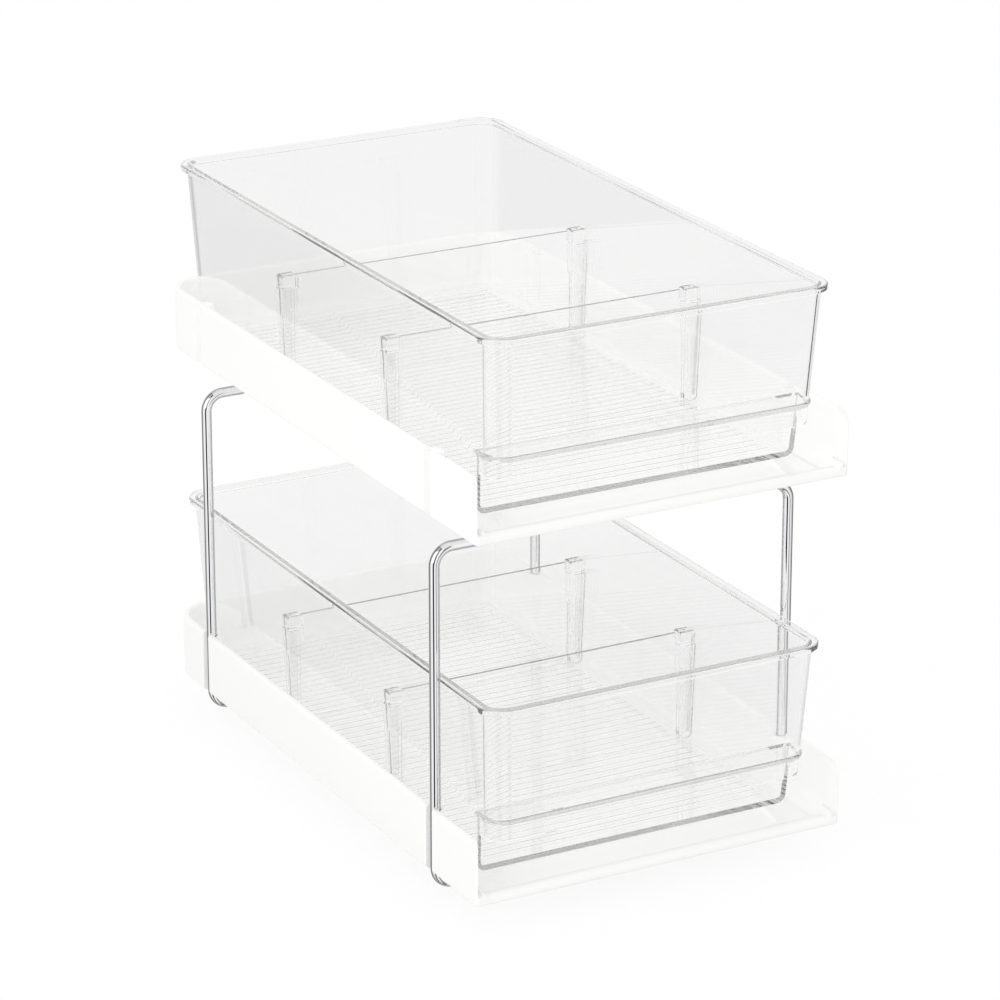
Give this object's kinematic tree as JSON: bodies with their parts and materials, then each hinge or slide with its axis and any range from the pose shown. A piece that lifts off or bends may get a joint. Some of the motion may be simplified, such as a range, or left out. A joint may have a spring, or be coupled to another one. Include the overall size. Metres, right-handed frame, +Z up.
{
  "type": "drawer organizer",
  "caption": "Stacked pull-out organizer: open-front moulded trays held apart by round wire loops, each with a clear drawer, lift-out dividers and a recessed finger pull",
  "frame": {"origin": "middle of the footprint, on the surface that the lower tray's feet stand on", "axes": "+Z up, the drawers open towards -Y, +X to the right seen from the front"},
  "size_m": [0.2, 0.342, 0.2908],
  "materials": {
    "white_plastic": "white injection-moulded plastic, satin gloss",
    "clear_plastic": "clear injection-moulded plastic, polished",
    "chromed_wire": "bright chrome plating on drawn steel wire"
  },
  "bodies": {
    "stand": {"lower_tray": "white_plastic", "upper_tray": "white_plastic", "front_wire_frame": "chromed_wire", "rear_wire_frame": "chromed_wire"},
    "lower_drawer": {"lower_drawer": "clear_plastic"},
    "upper_drawer": {"upper_drawer": "clear_plastic"},
    "lower_front_divider": {"lower_front_divider": "clear_plastic"},
    "lower_rear_divider": {"lower_rear_divider": "clear_plastic"},
    "upper_front_divider": {"upper_front_divider": "clear_plastic"},
    "upper_rear_divider": {"upper_rear_divider": "clear_plastic"}
  },
  "joints": [
    {"name": "lower_drawer_slide", "type": "slide", "parent": "stand", "child": "lower_drawer", "axis": [0, -1, 0], "range_m": [0, 0.15]},
    {"name": "upper_drawer_slide", "type": "slide", "parent": "stand", "child": "upper_drawer", "axis": [0, -1, 0], "range_m": [0, 0.15]},
    {"name": "lower_front_divider_lift", "type": "slide", "parent": "lower_drawer", "child": "lower_front_divider", "axis": [0, 0, 1], "range_m": [0, 0.048]},
    {"name": "lower_rear_divider_lift", "type": "slide", "parent": "lower_drawer", "child": "lower_rear_divider", "axis": [0, 0, 1], "range_m": [0, 0.048]},
    {"name": "upper_front_divider_lift", "type": "slide", "parent": "upper_drawer", "child": "upper_front_divider", "axis": [0, 0, 1], "range_m": [0, 0.048]},
    {"name": "upper_rear_divider_lift", "type": "slide", "parent": "upper_drawer", "child": "upper_rear_divider", "axis": [0, 0, 1], "range_m": [0, 0.048]}
  ]
}
